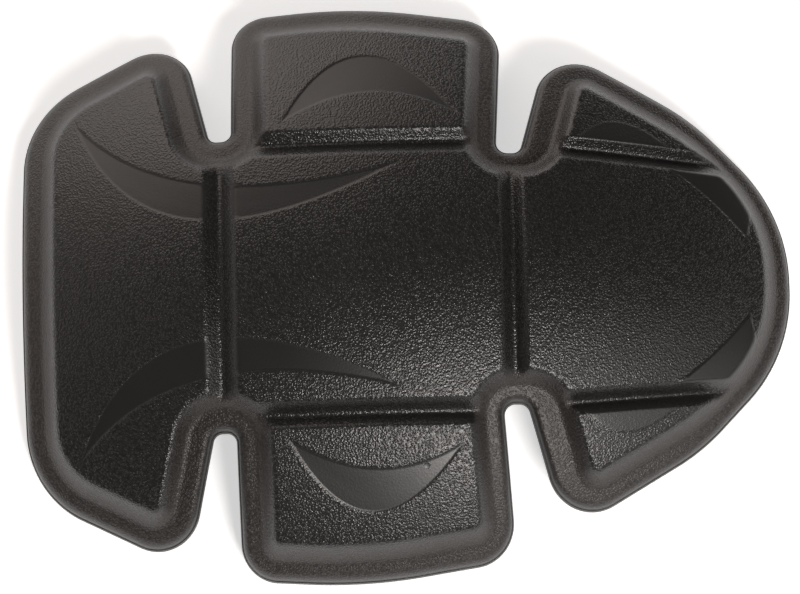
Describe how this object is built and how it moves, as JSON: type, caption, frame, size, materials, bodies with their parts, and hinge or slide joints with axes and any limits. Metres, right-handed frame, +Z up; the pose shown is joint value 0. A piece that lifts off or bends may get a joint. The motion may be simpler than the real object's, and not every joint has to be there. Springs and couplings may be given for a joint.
{
  "type": "shoulder protector pad",
  "caption": "Moulded foam shoulder protector: a domed pad with raised panels, round-bottomed flex grooves, open slots between its flaps and a thin flange all round.",
  "frame": {"origin": "on the surface that the pad rests on, below the centre of its bounding box", "axes": "+X towards the narrow rounded end, +Y towards one side flap, +Z up out of the convex side"},
  "size_m": [0.205, 0.155, 0.0448],
  "materials": {
    "foam": "matt closed-cell foam with a fine pebble grain and smooth crescents"
  },
  "bodies": {
    "root": {"foam_pad": "foam"}
  },
  "joints": []
}
